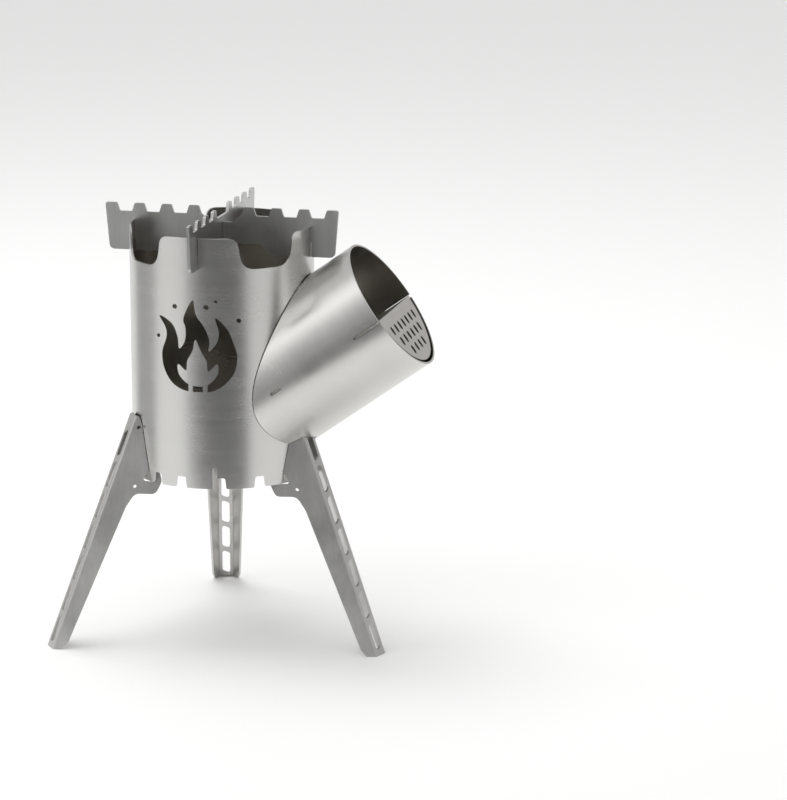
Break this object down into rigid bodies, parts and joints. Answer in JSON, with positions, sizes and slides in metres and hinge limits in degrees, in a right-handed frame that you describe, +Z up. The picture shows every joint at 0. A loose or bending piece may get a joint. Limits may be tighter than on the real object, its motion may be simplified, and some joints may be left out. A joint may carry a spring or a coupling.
{
  "type": "rocket stove",
  "caption": "Plug-together sheet-steel rocket stove: crowned upright tube, slanted feed tube with shelf, crossed pot support, slotted legs and a grate.",
  "frame": {"origin": "on the floor, at the centre of the bounding box", "axes": "+Z up along the main tube, +X towards the feed tube's mouth, -Y towards the side with the flame cut-out"},
  "size_m": [0.2636, 0.2144, 0.3073],
  "materials": {
    "tube_steel": "fine horizontal brushing",
    "feed_steel": "smooth satin",
    "shelf_steel": "satin, slightly warm",
    "leg_steel": "dull mill finish",
    "grate_steel": "dull mill finish",
    "plate_steel": "satin laser-cut plate"
  },
  "bodies": {
    "main_tube": {"main_tube": "tube_steel"},
    "feed_tube": {"feed_tube": "feed_steel"},
    "fuel_shelf": {"fuel_shelf": "shelf_steel"},
    "leg_left": {"leg_left": "leg_steel"},
    "leg_right": {"leg_right": "leg_steel"},
    "leg_back": {"leg_back": "leg_steel"},
    "grate": {"grate": "grate_steel"},
    "pot_support_lower": {"pot_support_lower": "plate_steel"},
    "pot_support_upper": {"pot_support_upper": "plate_steel"}
  },
  "joints": [
    {"name": "feed_tube_slide", "type": "slide", "parent": "main_tube", "child": "feed_tube", "axis": [0.8151, 0, 0.5793], "range_m": [0, 0.12]},
    {"name": "fuel_shelf_slide", "type": "slide", "parent": "feed_tube", "child": "fuel_shelf", "axis": [0.8151, 0, 0.5793], "range_m": [0, 0.115]},
    {"name": "leg_left_slide", "type": "slide", "parent": "main_tube", "child": "leg_left", "axis": [0, 0, -1], "range_m": [0, 0.055]},
    {"name": "leg_right_slide", "type": "slide", "parent": "main_tube", "child": "leg_right", "axis": [0, 0, -1], "range_m": [0, 0.055]},
    {"name": "leg_back_slide", "type": "slide", "parent": "main_tube", "child": "leg_back", "axis": [0, 0, -1], "range_m": [0, 0.055]},
    {"name": "grate_lift", "type": "slide", "parent": "main_tube", "child": "grate", "axis": [0, 0, 1], "range_m": [0, 0.13]},
    {"name": "pot_support_lower_lift", "type": "slide", "parent": "main_tube", "child": "pot_support_lower", "axis": [0, 0, 1], "range_m": [0, 0.05]},
    {"name": "pot_support_upper_lift", "type": "slide", "parent": "pot_support_lower", "child": "pot_support_upper", "axis": [0, 0, 1], "range_m": [0, 0.05]}
  ]
}
